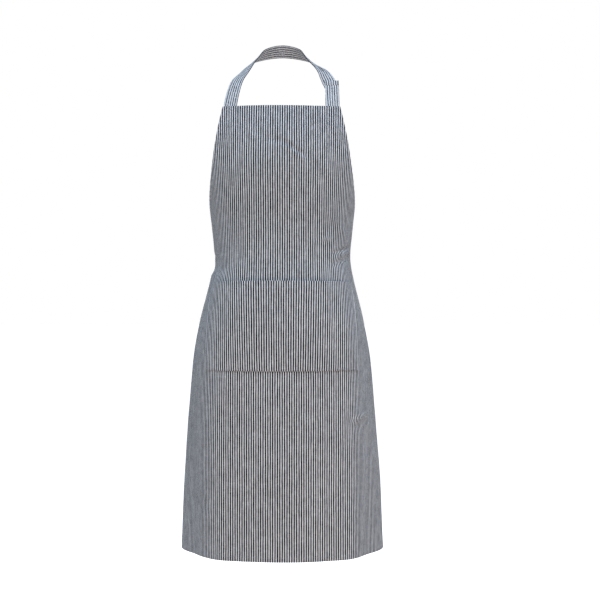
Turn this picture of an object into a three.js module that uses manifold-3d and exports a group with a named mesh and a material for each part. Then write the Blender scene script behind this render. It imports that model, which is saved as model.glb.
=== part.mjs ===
// Striped bib apron as it hangs on a wearer, tied behind. Millimetres, +Z up, the front faces -Y.
// The origin is the middle of the neck strap's inner face, where the strap rests on the nape.
import * as THREE from 'three';
import { mergeVertices } from 'three/addons/utils/BufferGeometryUtils.js';
import ManifoldModule from 'manifold-3d';

// cloth, as cut and hemmed
const apronLength = 898;       // bib top to hem
const bibTopWidth = 238;
const skirtWidth = 660;
const armholeDepth = 290;      // bib top down to the side corners
const armholeFlare = 0.27;     // how much the armhole's straight upper part widens for its length
const armholeSweep = 5;        // power of the curve that runs out to the side corner
const clothThickness = 0.8;

// patch pocket
const pocketWidth = 326;
const pocketHeight = 178;
const pocketDrop = 347;        // bib top down to the pocket's mouth
const pocketFullness = 14;     // how far the middle of the mouth stands open

// straps: each is a strip folded to four layers and topstitched
const strapWidth = 28;
const strapThickness = 2;
const strapSeamDepth = 38;     // how far a strap's sewn end reaches behind the bib
const tieSeamDepth = 25;       // how far a waist tie's sewn end reaches behind the side edge
const napeRise = 140;          // bib top up to the nape
const tabRise = 58;            // bib top up to the tab's end
const tabLean = 34;            // how far the tab leans back over that height
const tailLength = 300;

// button at the tab and its row of buttonholes in the neck strap
const buttonDiameter = 18;
const buttonThickness = 2.6;
const buttonInset = 17;        // tab's end down to the button
const buttonHoleDiameter = 1.8;
const buttonHoleOffset = 2.4;
const threadDiameter = 2.2;    // wrapped thread shank
const buttonholeLength = 20;
const buttonholeWidth = 4.2;
const buttonholeSpacing = 58;
const buttonholeCount = 3;

// knot of the bow, half sizes
const knotHalfWidth = 15;
const knotHalfDepth = 11;
const knotHalfHeight = 17;

// clearances
const clearance = 0.3;
const seamGap = 0.55;          // pocket to panel along the seam, so that their facets stay apart
const strapSeat = 1.35;        // flat strap end to the curved bib it is sewn behind
const tieSeat = 0.8;           // waist tie end to the side edge it is sewn behind

// The wearer that the apron fits, at heights below the bib top: half the width, the depth from the
// widest place to the front, where the front lies, and two powers: the first flattens the front,
// and the second, where it is low, leaves a soft crease down each side.
const backOpening = 110;       // between the side edges at the waist, spanned by the ties
const drawnWaistGirth = 770;   // waist of the shape in the table
const stations = [
  { drop: 0, halfWidth: 196, depth: 86, front: -155, frontPower: 2, sidePower: 2 },
  { drop: 55, halfWidth: 178, depth: 96, front: -175, frontPower: 2, sidePower: 2 },
  { drop: 115, halfWidth: 163, depth: 103, front: -186, frontPower: 2, sidePower: 2 },
  { drop: 182, halfWidth: 151, depth: 105, front: -180, frontPower: 2.1, sidePower: 2 },
  { drop: 240, halfWidth: 144, depth: 104, front: -169, frontPower: 2.2, sidePower: 2 },
  { drop: 300, halfWidth: 139, depth: 104, front: -168, frontPower: 2.3, sidePower: 1.9 },
  { drop: 345, halfWidth: 146, depth: 107, front: -177, frontPower: 2.4, sidePower: 1.9 },
  { drop: 425, halfWidth: 166, depth: 113, front: -188, frontPower: 2.5, sidePower: 1.8 },
  { drop: 510, halfWidth: 181, depth: 119, front: -190, frontPower: 2.6, sidePower: 1.7 },
  { drop: 700, halfWidth: 195, depth: 134, front: -190, frontPower: 2.8, sidePower: 1.6 },
  { drop: 898, halfWidth: 205, depth: 148, front: -190, frontPower: 3, sidePower: 1.5 },
];
const fit = (skirtWidth + backOpening) / drawnWaistGirth;
const sectionSteps = 240;

function slopeAt(index, key) {
  const before = stations[Math.max(index - 1, 0)];
  const after = stations[Math.min(index + 1, stations.length - 1)];
  return (after[key] - before[key]) / (after.drop - before.drop);
}

// one measure of the wearer at any height, on a smooth curve through the stations
function measureAt(drop, key) {
  let index = 0;
  while (index < stations.length - 2 && drop > stations[index + 1].drop) {
    index += 1;
  }
  const upper = stations[index];
  const lower = stations[index + 1];
  const span = lower.drop - upper.drop;
  const t = THREE.MathUtils.clamp((drop - upper.drop) / span, 0, 1);
  const rise = (2 * t - 3) * t * t + 1;
  const startSlope = t * (1 - t) * (1 - t) * span * slopeAt(index, key);
  const endSlope = t * t * (t - 1) * span * slopeAt(index + 1, key);
  return rise * upper[key] + (1 - rise) * lower[key] + startSlope + endSlope;
}

// the level outline of the wearer at a height, from the middle of the front round to the back
const outlines = new Map();
function outlineAt(drop) {
  if (!outlines.has(drop)) {
    const halfWidth = measureAt(drop, 'halfWidth') * fit;
    const depth = measureAt(drop, 'depth') * fit;
    const middle = measureAt(drop, 'front') + depth;
    const acrossPower = 2 / measureAt(drop, 'frontPower');
    const alongPower = 2 / measureAt(drop, 'sidePower');
    const points = [];
    for (let step = 0; step <= sectionSteps; step += 1) {
      const angle = (Math.PI * step) / sectionSteps;
      const across = halfWidth * Math.abs(Math.sin(angle)) ** acrossPower;
      const along = depth * Math.sign(Math.cos(angle)) * Math.abs(Math.cos(angle)) ** alongPower;
      points.push(new THREE.Vector2(across, middle - along));
    }
    const lengths = [0];
    for (let step = 1; step <= sectionSteps; step += 1) {
      lengths.push(lengths[step - 1] + points[step].distanceTo(points[step - 1]));
    }
    outlines.set(drop, { points, lengths });
  }
  return outlines.get(drop);
}

function halfGirthAt(drop) {
  return outlineAt(drop).lengths[sectionSteps];
}

// the point at a distance round from the middle of the front, without any offset
function skinPoint(around, drop) {
  const { points, lengths } = outlineAt(drop);
  const distance = Math.abs(around);
  let step = 1;
  while (step < sectionSteps && lengths[step] < distance) {
    step += 1;
  }
  const share = (distance - lengths[step - 1]) / (lengths[step] - lengths[step - 1]);
  const level = points[step - 1].clone().lerp(points[step], share);
  return new THREE.Vector3(Math.sign(around) * level.x, level.y, -napeRise - drop);
}

function skinNormal(around, drop) {
  const reach = 4;
  const sideways = skinPoint(around + reach, drop).sub(skinPoint(around - reach, drop));
  const upper = Math.max(drop - reach, 0);
  const lower = Math.min(drop + reach, apronLength);
  const upwards = skinPoint(around, upper).sub(skinPoint(around, lower));
  return sideways.cross(upwards).normalize();
}

// the point that lies a distance outside the wearer
function onWearer(around, drop, offset) {
  return skinPoint(around, drop).addScaledVector(skinNormal(around, drop), offset);
}

// A slab with a fine grid whose points are moved to where place() puts them. across and along run
// from -1 to 1, and through runs from 0 on the inner face to 1 on the outer face.
function warpedSlab(columns, rows, place) {
  const slab = new THREE.BoxGeometry(2, 2, 1, columns, rows, 1);
  const points = slab.attributes.position;
  for (let i = 0; i < points.count; i += 1) {
    const spot = place(points.getX(i), points.getY(i), points.getZ(i) + 0.5);
    points.setXYZ(i, spot.x, spot.y, spot.z);
  }
  slab.computeVertexNormals();
  return slab;
}

// A strap's route: the middle of its thickness, and the way its outer face looks, at each point.
function strapRoute(stops) {
  const middle = new THREE.CatmullRomCurve3(stops.map((stop) => stop.at));
  const facing = new THREE.CatmullRomCurve3(stops.map((stop) => stop.facing));
  middle.arcLengthDivisions = 400;
  return { middle, facing, length: middle.getLength() };
}

// the strap's middle, outward and sideways directions at a distance along its route
function strapFrame(route, distance) {
  const t = route.middle.getUtoTmapping(0, distance);
  const forward = route.middle.getTangent(t);
  const outward = route.facing.getPoint(t);
  outward.addScaledVector(forward, -outward.dot(forward)).normalize();
  const sideways = new THREE.Vector3().crossVectors(forward, outward);
  return { at: route.middle.getPoint(t), outward, sideways };
}

function ribbon(route, from, to, width, thickness, steps) {
  return warpedSlab(2, steps, (across, along, through) => {
    const distance = from + ((to - from) * (along + 1)) / 2;
    const { at, outward, sideways } = strapFrame(route, distance);
    at.addScaledVector(sideways, (across * width) / 2);
    return at.addScaledVector(outward, (through - 0.5) * thickness);
  });
}

const solids = await ManifoldModule();
solids.setup();

function toSolid(geometry) {
  const bare = geometry.clone();
  bare.deleteAttribute('normal');
  bare.deleteAttribute('uv');
  const merged = mergeVertices(bare, 1e-4);
  return new solids.Manifold(new solids.Mesh({
    numProp: 3,
    vertProperties: new Float32Array(merged.attributes.position.array),
    triVerts: new Uint32Array(merged.index.array),
  }));
}

function fromSolid(solid) {
  const mesh = solid.getMesh();
  const geometry = new THREE.BufferGeometry();
  geometry.setAttribute('position', new THREE.BufferAttribute(mesh.vertProperties, 3));
  geometry.setIndex(new THREE.BufferAttribute(mesh.triVerts, 1));
  geometry.computeVertexNormals();
  return geometry;
}

const apron = new THREE.Group();
const cloth = new THREE.MeshStandardMaterial({ color: '#82848c', roughness: 0.9, metalness: 0 });
const strapCloth = new THREE.MeshStandardMaterial({ color: '#8e929c', roughness: 0.9, metalness: 0 });
const resin = new THREE.MeshStandardMaterial({ color: '#e4ded2', roughness: 0.35, metalness: 0 });
const cotton = new THREE.MeshStandardMaterial({ color: '#dfe1e6', roughness: 0.85, metalness: 0 });

function addPiece(name, geometry, material) {
  const piece = new THREE.Mesh(geometry, material);
  piece.name = name;
  apron.add(piece);
  return piece;
}

// half the cloth's width at a height: bib, armhole curve, then the straight skirt
function panelHalfWidth(drop) {
  const top = bibTopWidth / 2;
  const sweep = skirtWidth / 2 - top - armholeFlare * armholeDepth;
  const share = Math.min(drop / armholeDepth, 1);
  return top + armholeFlare * armholeDepth * share + sweep * share ** armholeSweep;
}

// Bib and skirt are cut in one. Rows gather towards the side corners, where the armhole turns out.
function bodyPanel() {
  const columns = 44;
  const bibRows = 14;
  const skirtRows = 22;
  const gather = 1.6;
  const geometry = warpedSlab(columns, bibRows + skirtRows, (across, along, through) => {
    const row = Math.round(((1 - along) / 2) * (bibRows + skirtRows));
    const bibShare = 1 - (1 - Math.min(row / bibRows, 1)) ** gather;
    const skirtShare = Math.max((row - bibRows) / skirtRows, 0);
    const drop = armholeDepth * bibShare + (apronLength - armholeDepth) * skirtShare;
    return onWearer(across * panelHalfWidth(drop), drop, through * clothThickness);
  });
  addPiece('body_panel', geometry, cloth);
}

// One wide pocket, sewn down at its sides and foot, with its mouth standing a little open.
function pocket() {
  const columns = 22;
  const rows = 10;
  const geometry = warpedSlab(columns, rows, (across, along, through) => {
    const drop = pocketDrop + (pocketHeight * (1 - along)) / 2;
    const open = pocketFullness * (1 - across ** 2) * ((1 + along) / 2) ** 0.7;
    const offset = clothThickness + seamGap + open + through * clothThickness;
    return onWearer((across * pocketWidth) / 2, drop, offset);
  });
  addPiece('pocket', geometry, cloth);
}

// Both straps leave the bib at its top corners, sewn in behind the cloth.
const cornerAround = (bibTopWidth - strapWidth) / 2 - 1;
const tabDepth = -strapSeat - strapThickness / 2;
const tabLayer = strapThickness + 3 * clearance;   // from the tab to the strap's end behind it

function behindBib(around, drop, offset) {
  return { at: onWearer(around, drop, offset), facing: skinNormal(around, drop) };
}

// the tab's route up from behind the bib; layer shifts it inwards for what lies under it
function tabStops(layer) {
  const offset = tabDepth - layer;
  const foot = behindBib(cornerAround, strapSeamDepth, offset);
  const seam = behindBib(cornerAround, strapSeamDepth / 2, offset);
  const top = behindBib(cornerAround, 0, offset);
  const facing = new THREE.Vector3(0.06, -tabRise, tabLean).normalize();
  const end = behindBib(cornerAround, 0, tabDepth).at;
  end.add(new THREE.Vector3(-1, tabLean, tabRise)).addScaledVector(facing, -layer * 1.3);
  const half = behindBib(cornerAround, 0, tabDepth).at;
  half.add(new THREE.Vector3(-0.5, tabLean / 2, tabRise / 2)).addScaledVector(facing, -layer);
  return [foot, seam, top, { at: half, facing }, { at: end, facing }];
}

const tabRoute = strapRoute(tabStops(0));

function neckTab() {
  addPiece('neck_tab', ribbon(tabRoute, 0, tabRoute.length, strapWidth, strapThickness, 14), strapCloth);
}

function stop(x, y, z, facingX, facingY, facingZ) {
  return { at: new THREE.Vector3(x, y, z), facing: new THREE.Vector3(facingX, facingY, facingZ) };
}

// Up from the bib's left corner, over the shoulder, round the nape, and down behind the tab.
function neckStrapRoute() {
  const reach = cornerAround - 104;
  const behindTab = tabStops(tabLayer).reverse().slice(0, 4);
  return strapRoute([
    behindBib(-cornerAround, strapSeamDepth, tabDepth),
    behindBib(-cornerAround, strapSeamDepth / 2, tabDepth),
    behindBib(-cornerAround, 0, tabDepth),
    stop(-91 - reach, -112, -86, -0.35, -0.75, 0.5),
    stop(-77 - reach / 2, -89, -62, -0.45, -0.45, 0.75),
    stop(-62, -60, -37, -0.5, -0.05, 0.85),
    stop(-39, -18, -11, -0.35, 0.6, 0.7),
    stop(0, strapThickness / 2, 0, 0, 0.85, 0.5),
    stop(40, -18, -11, 0.35, 0.6, 0.7),
    stop(66, -59, -35, 0.5, -0.05, 0.85),
    stop(88 + reach / 2, -83, -56, 0.4, -0.45, 0.75),
    ...behindTab,
  ]);
}

const strapPath = neckStrapRoute();
const buttonOnTab = strapFrame(tabRoute, tabRoute.length - buttonInset);

// distance along the neck strap of the buttonhole that the button holds
function buttonDistance() {
  let best = 0;
  let nearest = Infinity;
  for (let distance = strapPath.length / 2; distance < strapPath.length; distance += 0.25) {
    const gap = strapFrame(strapPath, distance).at.distanceTo(buttonOnTab.at);
    if (gap < nearest) {
      nearest = gap;
      best = distance;
    }
  }
  return best;
}

function neckStrap() {
  const plain = ribbon(strapPath, 0, strapPath.length, strapWidth, strapThickness, 72);
  const first = buttonDistance();
  let strap = toSolid(plain);
  for (let hole = 0; hole < buttonholeCount; hole += 1) {
    const middle = first - hole * buttonholeSpacing;
    const start = middle - buttonholeLength / 2;
    const slot = ribbon(strapPath, start, start + buttonholeLength, buttonholeWidth, strapThickness * 3, 4);
    strap = strap.subtract(toSolid(slot));
  }
  addPiece('neck_strap', fromSolid(strap), strapCloth);
}

// The button is sewn to the tab's inner face, and its thread passes through the strap's buttonhole.
function button() {
  const radius = buttonDiameter / 2;
  const face = new THREE.Shape().absarc(0, 0, radius - 0.4, 0, Math.PI * 2, false);
  for (let quarter = 0; quarter < 4; quarter += 1) {
    const angle = Math.PI / 4 + (quarter * Math.PI) / 2;
    const x = buttonHoleOffset * Math.cos(angle);
    const y = buttonHoleOffset * Math.sin(angle);
    face.holes.push(new THREE.Path().absarc(x, y, buttonHoleDiameter / 2 + 0.4, 0, Math.PI * 2, true));
  }
  const disc = new THREE.ExtrudeGeometry(face, {
    depth: buttonThickness - 0.8,
    bevelEnabled: true,
    bevelSize: 0.4,
    bevelThickness: 0.4,
    bevelSegments: 1,
    curveSegments: 14,
  });
  disc.translate(0, 0, 0.4);
  const inner = strapThickness / 2;
  const shank = tabLayer + 3 * clearance;
  const seat = buttonOnTab.at.clone().addScaledVector(buttonOnTab.outward, -inner - shank);
  const turned = new THREE.Quaternion();
  turned.setFromUnitVectors(new THREE.Vector3(0, 0, 1), buttonOnTab.outward.clone().negate());
  const piece = addPiece('neck_button', disc, resin);
  piece.position.copy(seat);
  piece.quaternion.copy(turned);
  const threadLength = shank - 2 * clearance;
  const wrap = new THREE.CylinderGeometry(threadDiameter / 2, threadDiameter / 2, threadLength, 16);
  wrap.rotateX(Math.PI / 2);
  const thread = addPiece('button_thread', wrap, cotton);
  thread.position.copy(seat).addScaledVector(buttonOnTab.outward, shank / 2);
  thread.quaternion.copy(turned);
}

// The bow sits on the small of the back, level with the side corners.
const tieDrop = armholeDepth + strapWidth / 2 + 1;
const smallOfBack = skinPoint(halfGirthAt(tieDrop), tieDrop);
const knot = smallOfBack.clone().add(new THREE.Vector3(0, knotHalfDepth + 2, 0));

function bowKnot() {
  const ball = new THREE.SphereGeometry(1, 24, 14);
  ball.scale(knotHalfWidth, knotHalfDepth, knotHalfHeight);
  ball.translate(knot.x, knot.y, knot.z);
  addPiece('bow_knot', ball, strapCloth);
}

function besideKnot(side, x, y, z, facingX, facingY, facingZ) {
  return stop(knot.x + side * x, knot.y + y, knot.z + z, side * facingX, facingY, facingZ);
}

function waistTie(name, side) {
  const edge = skirtWidth / 2;
  const reach = knotHalfWidth + clearance;
  const depth = -tieSeat - strapThickness / 2;
  const route = strapRoute([
    behindBib(side * (edge - tieSeamDepth), tieDrop, depth),
    behindBib(side * (edge - tieSeamDepth / 2), tieDrop, depth),
    behindBib(side * (edge + 3), tieDrop, depth),
    besideKnot(side, reach + 14, -knotHalfDepth + 2, 2, 0.1, 1, 0),
    besideKnot(side, reach - 0.6, -4.2, 3, 0.1, 1, 0),
  ]);
  addPiece(name, ribbon(route, 0, route.length, strapWidth, strapThickness, 14), strapCloth);
}

function bowLoop(name, side) {
  const reach = knotHalfWidth + clearance;
  const route = strapRoute([
    besideKnot(side, reach - 0.6, 4, 4, 0, -1, 0),
    besideKnot(side, 44, 4, 3, 0, -1, 0),
    besideKnot(side, 74, 6, -4, 0.3, -1, 0),
    besideKnot(side, 92, 13, -13, 1, 0, 0),
    besideKnot(side, 76, 20, -14, 0.2, 1, 0),
    besideKnot(side, 46, 17, -6, -0.1, 1, 0),
    besideKnot(side, reach - 3.2, 9.5, 1, -0.1, 1, 0),
  ]);
  addPiece(name, ribbon(route, 0, route.length, strapWidth, strapThickness, 28), strapCloth);
}

// Each tail hangs from under the knot, the two a little apart so that they swing past each other.
function tieTail(name, side) {
  const layer = side * (strapThickness + clearance) * 0.6;
  const start = -knotHalfHeight - clearance;
  const route = strapRoute([
    besideKnot(side, 5, layer, start, 0, 1, 0),
    besideKnot(side, 7, layer, start - tailLength * 0.2, 0, 1, 0),
    besideKnot(side, 10, layer + 1, start - tailLength * 0.5, 0, 1, 0),
    besideKnot(side, 12, layer, start - tailLength, 0, 1, 0),
  ]);
  addPiece(name, ribbon(route, 0, route.length, strapWidth, strapThickness, 16), strapCloth);
}

bodyPanel();
pocket();
neckTab();
neckStrap();
button();
bowKnot();
for (const [hand, side] of [['left', -1], ['right', 1]]) {
  waistTie(`waist_tie_${hand}`, side);
  bowLoop(`bow_loop_${hand}`, side);
  tieTail(`tie_tail_${hand}`, side);
}

export default apron;
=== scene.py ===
# A striped bib apron as it hangs on a wearer: bib and skirt in one cloth with turned hems, a patch
# pocket, a neck strap that buttons to a tab, and waist ties in a bow behind.
import bisect
import math

import bmesh
import bpy
from mathutils import Matrix, Vector, noise


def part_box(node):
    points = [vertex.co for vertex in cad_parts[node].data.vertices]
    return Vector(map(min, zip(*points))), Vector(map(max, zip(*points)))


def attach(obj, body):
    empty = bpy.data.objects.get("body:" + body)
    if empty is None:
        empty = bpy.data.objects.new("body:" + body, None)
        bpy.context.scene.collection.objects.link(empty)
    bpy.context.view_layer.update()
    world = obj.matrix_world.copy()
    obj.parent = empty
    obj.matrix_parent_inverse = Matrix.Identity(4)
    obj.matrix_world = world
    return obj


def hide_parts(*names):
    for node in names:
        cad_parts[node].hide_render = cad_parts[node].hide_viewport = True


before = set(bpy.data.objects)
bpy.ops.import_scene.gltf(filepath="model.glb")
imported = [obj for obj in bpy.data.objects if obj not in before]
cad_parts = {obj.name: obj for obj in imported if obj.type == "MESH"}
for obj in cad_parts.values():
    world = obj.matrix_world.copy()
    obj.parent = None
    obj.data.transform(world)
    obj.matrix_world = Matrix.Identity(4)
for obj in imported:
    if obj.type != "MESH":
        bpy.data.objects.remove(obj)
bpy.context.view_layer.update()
scene = bpy.context.scene

bibTop = round(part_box("body_panel")[1].z, 3)  # height of the bib's top edge
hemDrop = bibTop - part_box("body_panel")[0].z  # from there to the hem
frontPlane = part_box("body_panel")[0].y

view = {
    "distance": 2.2,  # from the front of the skirt
    "lens": 67.7,
    "aside": 0.037,
    "height": -0.526,
    "floorDrop": 0.42,  # from the hem to the floor
    "floorRadius": 40,
}

lights = {
    # where, how wide, how strong, colour
    "overhead": ((0.10, -2.10, 2.70), 1.8, 89, "#cde4ff"),
    "lowFront": ((0.35, -2.00, -1.25), 1.2, 14, "#ffdcc4"),
    "leftSide": ((-2.2, -0.7, -0.5), 1.6, 5.0, "#cfe2ff"),
    "rightSide": ((2.2, -0.7, -0.4), 1.6, 7.5, "#cfe2ff"),
    "behind": ((0.3, 2.4, 0.4), 1.8, 31, "#f4f7ff"),
}
skyStrength = 0.41


def toLinear(code):
    # sRGB hex to the linear colour that shaders use
    parts = [int(code[i:i + 2], 16) / 255 for i in (1, 3, 5)]
    return [c / 12.92 if c < 0.04045 else ((c + 0.055) / 1.055) ** 2.4 for c in parts] + [1.0]


def addNode(tree, kind, *inputs, **settings):
    # inputs go to the sockets in order: a node, a socket, a plain value, or None to leave it
    node = tree.nodes.new("ShaderNode" + kind)
    for name, value in settings.items():
        setattr(node, name, value)
    for socket, value in zip(node.inputs, inputs):
        if isinstance(value, bpy.types.Node):
            tree.links.new(value.outputs[0], socket)
        elif isinstance(value, bpy.types.NodeSocket):
            tree.links.new(value, socket)
        elif value is not None:
            socket.default_value = value
    return node


def addObject(name, data):
    made = bpy.data.objects.new(name, data)
    scene.collection.objects.link(made)
    return made


def addMesh(name, bm, material=None):
    mesh = bpy.data.meshes.new(name)
    bm.to_mesh(mesh)
    bm.free()
    if material:
        mesh.materials.append(material)
    return addObject(name, mesh)


def setCamera():
    camera = addObject("camera", bpy.data.cameras.new("camera"))
    camera.data.lens = view["lens"]
    camera.data.sensor_width = 36
    camera.location = (view["aside"], frontPlane - view["distance"], view["height"])
    camera.rotation_euler = (math.radians(90), 0, 0)
    scene.camera = camera
    scene.view_settings.view_transform = "Standard"


def setLights():
    world = bpy.data.worlds.new("studio")
    scene.world = world
    world.use_nodes = True
    tree = world.node_tree
    tree.nodes.clear()
    sky = addNode(tree, "Background", toLinear("#ebf3ff"), skyStrength)
    backdrop = addNode(tree, "Background", (1, 1, 1, 1), 1.0)
    seen = addNode(tree, "LightPath")
    both = addNode(tree, "MixShader", seen, sky, backdrop)
    addNode(tree, "OutputWorld", both)
    middle = Vector((0, 0, view["height"]))
    for name, (place, size, power, colour) in lights.items():
        lamp = addObject(name, bpy.data.lights.new(name, "AREA"))
        lamp.data.shape = "DISK"
        lamp.data.size = size
        lamp.data.energy = power
        lamp.data.color = toLinear(colour)[:3]
        lamp.location = place
        lamp.rotation_euler = (middle - lamp.location).to_track_quat("-Z", "Y").to_euler()


def setFloor():
    bm = bmesh.new()
    bmesh.ops.create_circle(bm, cap_ends=True, segments=64, radius=view["floorRadius"])
    bmesh.ops.translate(bm, verts=bm.verts, vec=(0, 0, bibTop - hemDrop - view["floorDrop"]))
    floor = addMesh("floor", bm)
    floor.visible_diffuse = False
    paint = bpy.data.materials.new("floor paint, white, matt")
    paint.use_nodes = True
    shader = paint.node_tree.nodes["Principled BSDF"]
    shader.inputs["Base Color"].default_value = toLinear("#f6f6f5")
    shader.inputs["Roughness"].default_value = 0.8
    shader.inputs["Emission Color"].default_value = (1, 1, 1, 1)
    shader.inputs["Emission Strength"].default_value = 0.85
    floor.data.materials.append(paint)


# the wearer's shape that the cloth lies on
wearer = {
    # drop below the bib's top, half width, depth from the widest place to the front, where the
    # front lies, how square the front is, how round the sides are
    "stations": [
        (0.000, 0.196, 0.086, -0.155, 2.0, 2.0),
        (0.055, 0.178, 0.096, -0.175, 2.0, 2.0),
        (0.115, 0.163, 0.103, -0.186, 2.0, 2.0),
        (0.182, 0.151, 0.105, -0.180, 2.1, 2.0),
        (0.240, 0.144, 0.104, -0.169, 2.2, 2.0),
        (0.300, 0.139, 0.104, -0.168, 2.3, 1.9),
        (0.345, 0.146, 0.107, -0.177, 2.4, 1.9),
        (0.425, 0.166, 0.113, -0.188, 2.5, 1.8),
        (0.510, 0.181, 0.119, -0.190, 2.6, 1.7),
        (0.700, 0.195, 0.134, -0.190, 2.8, 1.6),
        (0.898, 0.205, 0.148, -0.190, 3.0, 1.5),
    ],
    "steps": 240,
    "reach": 0.004,  # over which a slope is measured
}


def measuresAt(drop):
    # the five measures at any height, on a smooth curve through the stations
    rows = wearer["stations"]
    i = 0
    while i < len(rows) - 2 and drop > rows[i + 1][0]:
        i += 1
    upper, lower = rows[i], rows[i + 1]
    before, after = rows[max(i - 1, 0)], rows[min(i + 2, len(rows) - 1)]
    span = lower[0] - upper[0]
    t = min(max((drop - upper[0]) / span, 0), 1)
    rise = (2 * t - 3) * t * t + 1
    found = []
    for k in range(1, 6):
        startSlope = (lower[k] - before[k]) / (lower[0] - before[0])
        endSlope = (after[k] - upper[k]) / (after[0] - upper[0])
        bend = t * (1 - t) ** 2 * startSlope + t * t * (t - 1) * endSlope
        found.append(rise * upper[k] + (1 - rise) * lower[k] + span * bend)
    return found


outlines = {}


def outlineAt(drop):
    # the level outline from the middle of the front to the middle of the back, and its lengths
    key = round(drop, 6)
    if key not in outlines:
        halfWidth, depth, front, square, side = measuresAt(drop)
        points, lengths = [], [0.0]
        for step in range(wearer["steps"] + 1):
            angle = math.pi * step / wearer["steps"]
            across = halfWidth * abs(math.sin(angle)) ** (2 / square)
            along = depth * math.copysign(abs(math.cos(angle)) ** (2 / side), math.cos(angle))
            points.append((across, front + depth - along))
            if step:
                lengths.append(lengths[-1] + math.dist(points[-1], points[-2]))
        outlines[key] = (points, lengths)
    return outlines[key]


def spanAt(lengths, distance):
    # which span of a measured line a distance falls in, and how far through that span
    i = min(max(bisect.bisect_left(lengths, distance), 1), len(lengths) - 1)
    return i, (distance - lengths[i - 1]) / (lengths[i] - lengths[i - 1])


def skinPoint(around, drop):
    points, lengths = outlineAt(drop)
    i, share = spanAt(lengths, abs(around))
    x = points[i - 1][0] + (points[i][0] - points[i - 1][0]) * share
    y = points[i - 1][1] + (points[i][1] - points[i - 1][1]) * share
    return Vector((math.copysign(x, around), y, bibTop - drop))


def skinNormal(around, drop):
    reach = wearer["reach"]
    sideways = skinPoint(around + reach, drop) - skinPoint(around - reach, drop)
    upwards = skinPoint(around, max(drop - reach, 0)) - skinPoint(around, min(drop + reach, hemDrop))
    return sideways.cross(upwards).normalized()


def onWearer(around, drop, offset):
    return skinPoint(around, drop) + skinNormal(around, drop) * offset


# how the cloth hangs
folds = {
    # where the fold is round the cloth, how wide, how far out at the hem (a minus is a hollow)
    "skirt": [
        (-0.262, 0.030, 0.0045), (-0.205, 0.024, -0.0042), (-0.130, 0.026, 0.0030),
        (-0.068, 0.030, -0.0018), (0.014, 0.045, 0.0020), (0.094, 0.024, -0.0022),
        (0.140, 0.026, 0.0036), (0.198, 0.024, -0.0040), (0.262, 0.034, 0.0045),
    ],
    "start": 0.36,  # drop at which the skirt's folds begin
    "growth": 0.5,
    # pull creases: where one starts and ends (around, drop), its width and height
    "creases": [
        ((0.162, 0.279), (0.116, 0.290), 0.0036, -0.0026),
        ((0.160, 0.289), (0.104, 0.302), 0.0044, 0.0022),
        ((0.164, 0.299), (0.112, 0.315), 0.0042, -0.0030),
        ((0.070, 0.270), (0.104, 0.262), 0.0050, 0.0016),
        ((-0.205, 0.292), (-0.140, 0.304), 0.0060, -0.0016),
        ((-0.215, 0.330), (-0.150, 0.346), 0.0070, 0.0014),
        ((-0.300, 0.312), (-0.130, 0.322), 0.0180, -0.0042),
        ((-0.020, 0.070), (0.010, 0.077), 0.0055, -0.0034),
        ((0.006, 0.076), (0.044, 0.101), 0.0046, -0.0046),
        ((0.006, 0.085), (0.040, 0.108), 0.0050, 0.0030),
        ((-0.060, 0.050), (-0.020, 0.074), 0.0060, -0.0016),
        ((-0.070, 0.105), (0.070, 0.105), 0.0600, 0.0030),
        ((0.098, 0.210), (0.150, 0.262), 0.0100, 0.0012),
        ((0.150, 0.624), (0.196, 0.616), 0.0050, 0.0030),
        ((0.158, 0.640), (0.205, 0.628), 0.0060, -0.0016),
        ((-0.215, 0.780), (-0.150, 0.800), 0.0120, -0.0010),
    ],
    "runOut": 0.3,  # share of its length over which a crease fades out past each end
    "swells": [(0.150, 0.0016), (0.055, 0.0007), (0.022, 0.0002)],  # size and height of unevenness
    "stretch": 0.6,  # swells are longer up and down the cloth
}


def easeIn(value):
    value = min(max(value, 0), 1)
    return value * value * (3 - 2 * value)


def drape(around, drop):
    # how far the cloth stands out from the wearer's plain shape
    fall = easeIn((drop - folds["start"]) / folds["growth"])
    out = 0.0
    for middle, width, depth in folds["skirt"]:
        out += depth * fall * math.exp(-(((around - middle) / width) ** 2))
    place = Vector((around, drop))
    for start, end, width, height in folds["creases"]:
        line = Vector(end) - Vector(start)
        share = (place - Vector(start)).dot(line) / line.length_squared
        share = min(max(share, -folds["runOut"]), 1 + folds["runOut"])
        gap = (place - Vector(start) - line * share).length
        if gap < width * 3:
            taper = max(1 - ((share - 0.5) / (0.5 + folds["runOut"])) ** 2, 0)
            out += height * taper * math.exp(-((gap / width) ** 2))
    for size, height in folds["swells"]:
        out += height * noise.noise(Vector((around / size, drop / size * folds["stretch"], size * 100)))
    return out


cloth = {
    "thickness": 0.0006,
    "roll": 0.0006,  # inner radius of a turned edge
    "lift": 0.0006,  # the face lies just outside the wearer's shape
    "corner": 0.6,  # how far two hems that cross are pressed together
}


def hemmedLines(steps, firstHem, lastHem, roll):
    # Grid lines across a cloth whose two edges are turned in. A line is its share of the half
    # width (-1 to 1 on the face), its distance in from the edge, the depth it is turned in, and
    # the cloth that it takes beyond the edge.
    def turned(side, hem):
        lines = [(side, roll + hem * k / 3, 2 * roll, math.pi * roll + hem * k / 3) for k in (3, 2, 1)]
        for k in range(4, 0, -1):
            angle = math.pi * k / 4
            inFromEdge = roll - roll * math.sin(angle)
            inset = roll - roll * math.cos(angle)
            lines.append((side, inFromEdge, inset, angle * roll))
        return lines

    face = [(2 * k / steps - 1, None, 0.0, 0.0) for k in range(steps + 1)]
    return turned(-1, firstHem) + face + turned(1, lastHem)[::-1]


def lineAt(line, half, roll, slant=1.0):
    # the place of a grid line, the depth it is turned in, and its place on the flat cloth
    share, inFromEdge, inset, extra = line
    if inFromEdge is None:
        return share * (half - roll), inset, share * (half - roll)
    return share * (half - inFromEdge * slant), inset, share * (half - roll + extra)


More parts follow.
